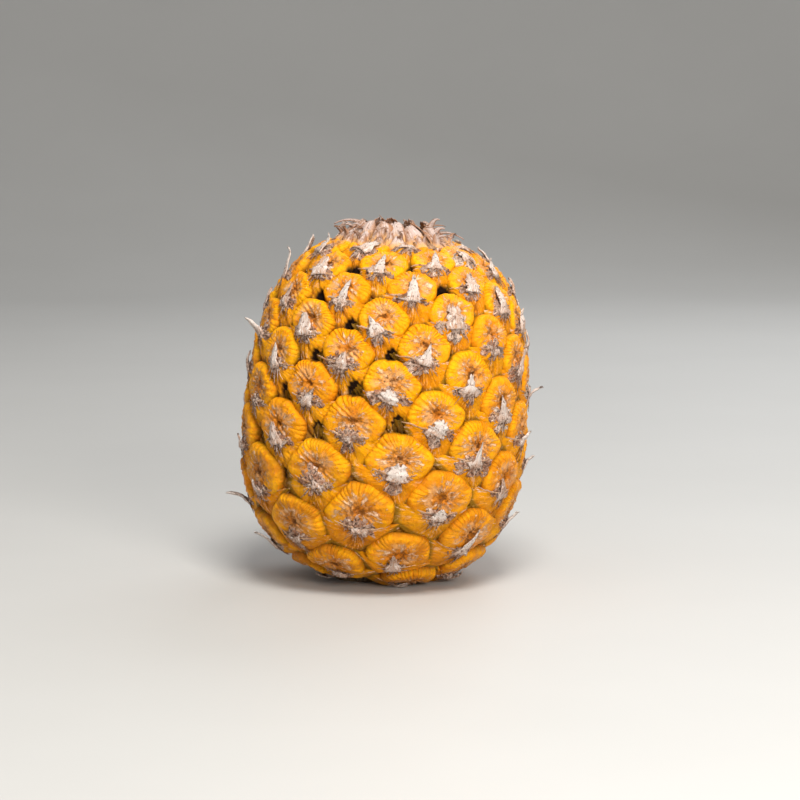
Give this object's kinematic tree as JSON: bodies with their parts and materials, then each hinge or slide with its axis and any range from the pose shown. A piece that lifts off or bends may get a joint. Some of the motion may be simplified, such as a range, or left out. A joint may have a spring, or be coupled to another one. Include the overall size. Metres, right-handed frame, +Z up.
{
  "type": "pineapple",
  "caption": "Whole ripe pineapple with its crown twisted off, a leaning barrel of domed hexagonal eyes with dry bract tips, standing on its cut stalk.",
  "frame": {"origin": "bottom centre of the bounding box, on the surface the fruit stands on", "axes": "+Z up; the pictured side faces -Y; +X is to the right in the picture, the way the fruit leans"},
  "size_m": [0.1402, 0.134, 0.1619],
  "materials": {
    "skin": "waxy ripe skin, satin, orange-yellow with ochre grooves and tan dry bract tips",
    "dry_leaf": "dry papery leaf bases, matt, pinkish cream to tan",
    "stalk": "cut fibrous stalk, matt, brown"
  },
  "bodies": {
    "root": {"fruit": "skin", "crown_stub": "dry_leaf", "stalk_stub": "stalk"}
  },
  "joints": []
}
